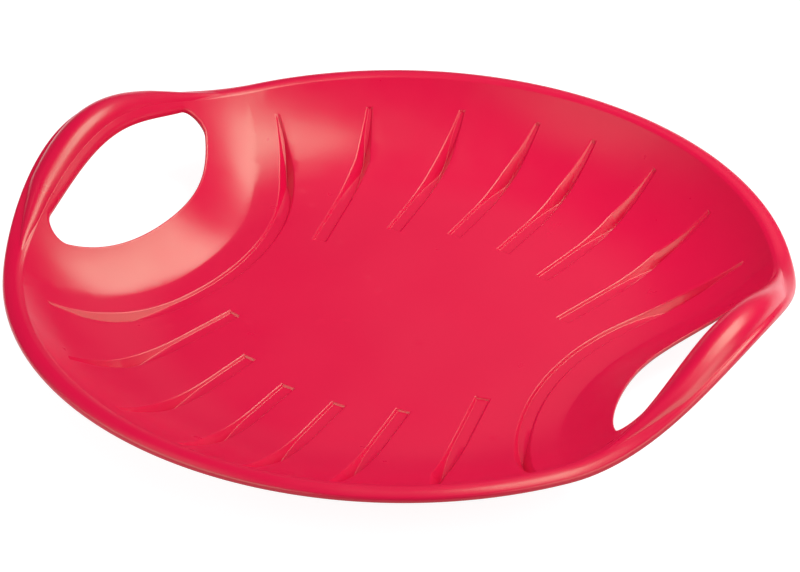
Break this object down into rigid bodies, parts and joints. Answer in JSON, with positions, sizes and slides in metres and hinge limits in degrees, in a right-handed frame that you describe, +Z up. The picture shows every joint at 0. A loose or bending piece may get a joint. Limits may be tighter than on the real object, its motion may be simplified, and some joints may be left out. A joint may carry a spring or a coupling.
{
  "type": "saucer sled",
  "caption": "Round moulded plastic saucer sled: a shallow dish with straight runner grooves, a turned-down rim, and raised grips with hand holes at opposite sides.",
  "frame": {"origin": "middle of the dish at the level of the runners' undersides, which is where the sled stands", "axes": "+X from the left grip to the right grip, +Y along the runners towards the front, +Z up"},
  "size_m": [0.6, 0.6, 0.1025],
  "materials": {
    "red_plastic": "glossy moulded polyethylene"
  },
  "bodies": {
    "root": {"floor_pan": "red_plastic", "front_wall": "red_plastic", "rear_wall": "red_plastic", "left_ear": "red_plastic", "right_ear": "red_plastic", "front_rim": "red_plastic", "rear_rim": "red_plastic", "left_grip": "red_plastic", "right_grip": "red_plastic", "front_runner_1": "red_plastic", "front_runner_2": "red_plastic", "front_runner_3": "red_plastic", "front_runner_4": "red_plastic", "front_runner_5": "red_plastic", "front_runner_6": "red_plastic", "rear_runner_1": "red_plastic", "rear_runner_2": "red_plastic", "rear_runner_3": "red_plastic", "rear_runner_4": "red_plastic", "rear_runner_5": "red_plastic", "rear_runner_6": "red_plastic", "left_wrap_runner": "red_plastic", "right_wrap_runner": "red_plastic"}
  },
  "joints": []
}
